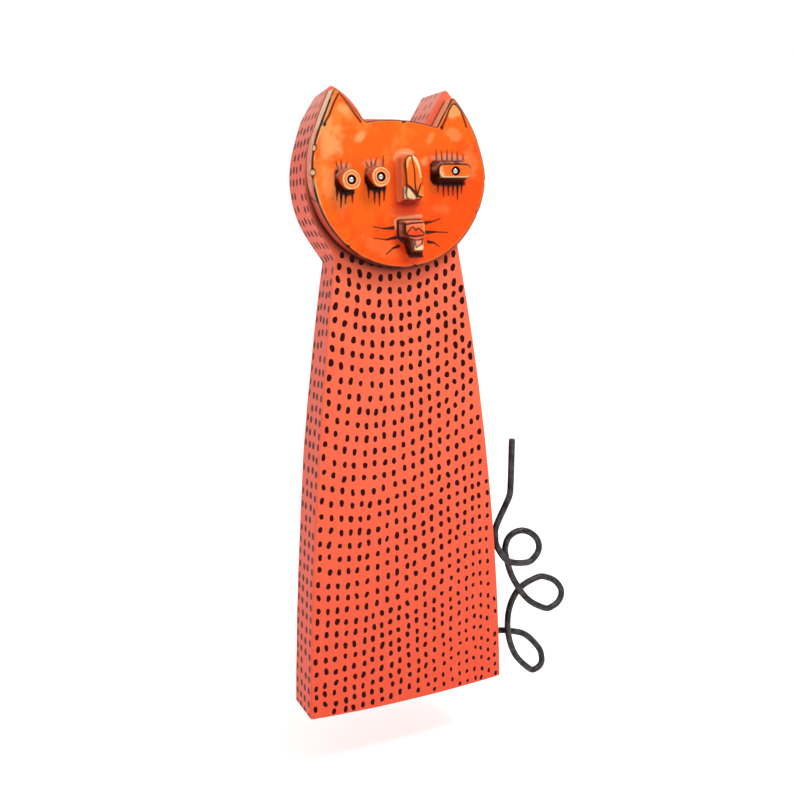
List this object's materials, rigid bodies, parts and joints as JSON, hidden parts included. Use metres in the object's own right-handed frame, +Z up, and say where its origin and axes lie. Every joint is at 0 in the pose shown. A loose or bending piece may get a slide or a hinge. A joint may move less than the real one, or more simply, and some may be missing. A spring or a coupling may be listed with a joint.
{
  "type": "wall-hung cat sculpture",
  "caption": "Flat wooden cat for a wall, with a tapering spotted body, a ceramic face in relief and a looped steel rod for a tail.",
  "frame": {"origin": "hanging point on the board's flat back, behind the middle of the head", "axes": "+Z up, +Y into the wall, the cat faces -Y, +X towards the tail"},
  "size_m": [0.2479, 0.0641, 0.5014],
  "materials": {
    "painted_board": "satin coral paint with hand-dabbed black spots",
    "orange_glaze": "mottled orange glaze over relief, black lines in the grooves",
    "polished_steel": "polished",
    "dark_steel": "dark satin steel"
  },
  "bodies": {
    "root": {"board": "painted_board", "ceramic_face": "orange_glaze", "pupil_outer": "polished_steel", "pupil_inner": "polished_steel", "pupil_right": "polished_steel", "tail": "dark_steel"}
  },
  "joints": []
}
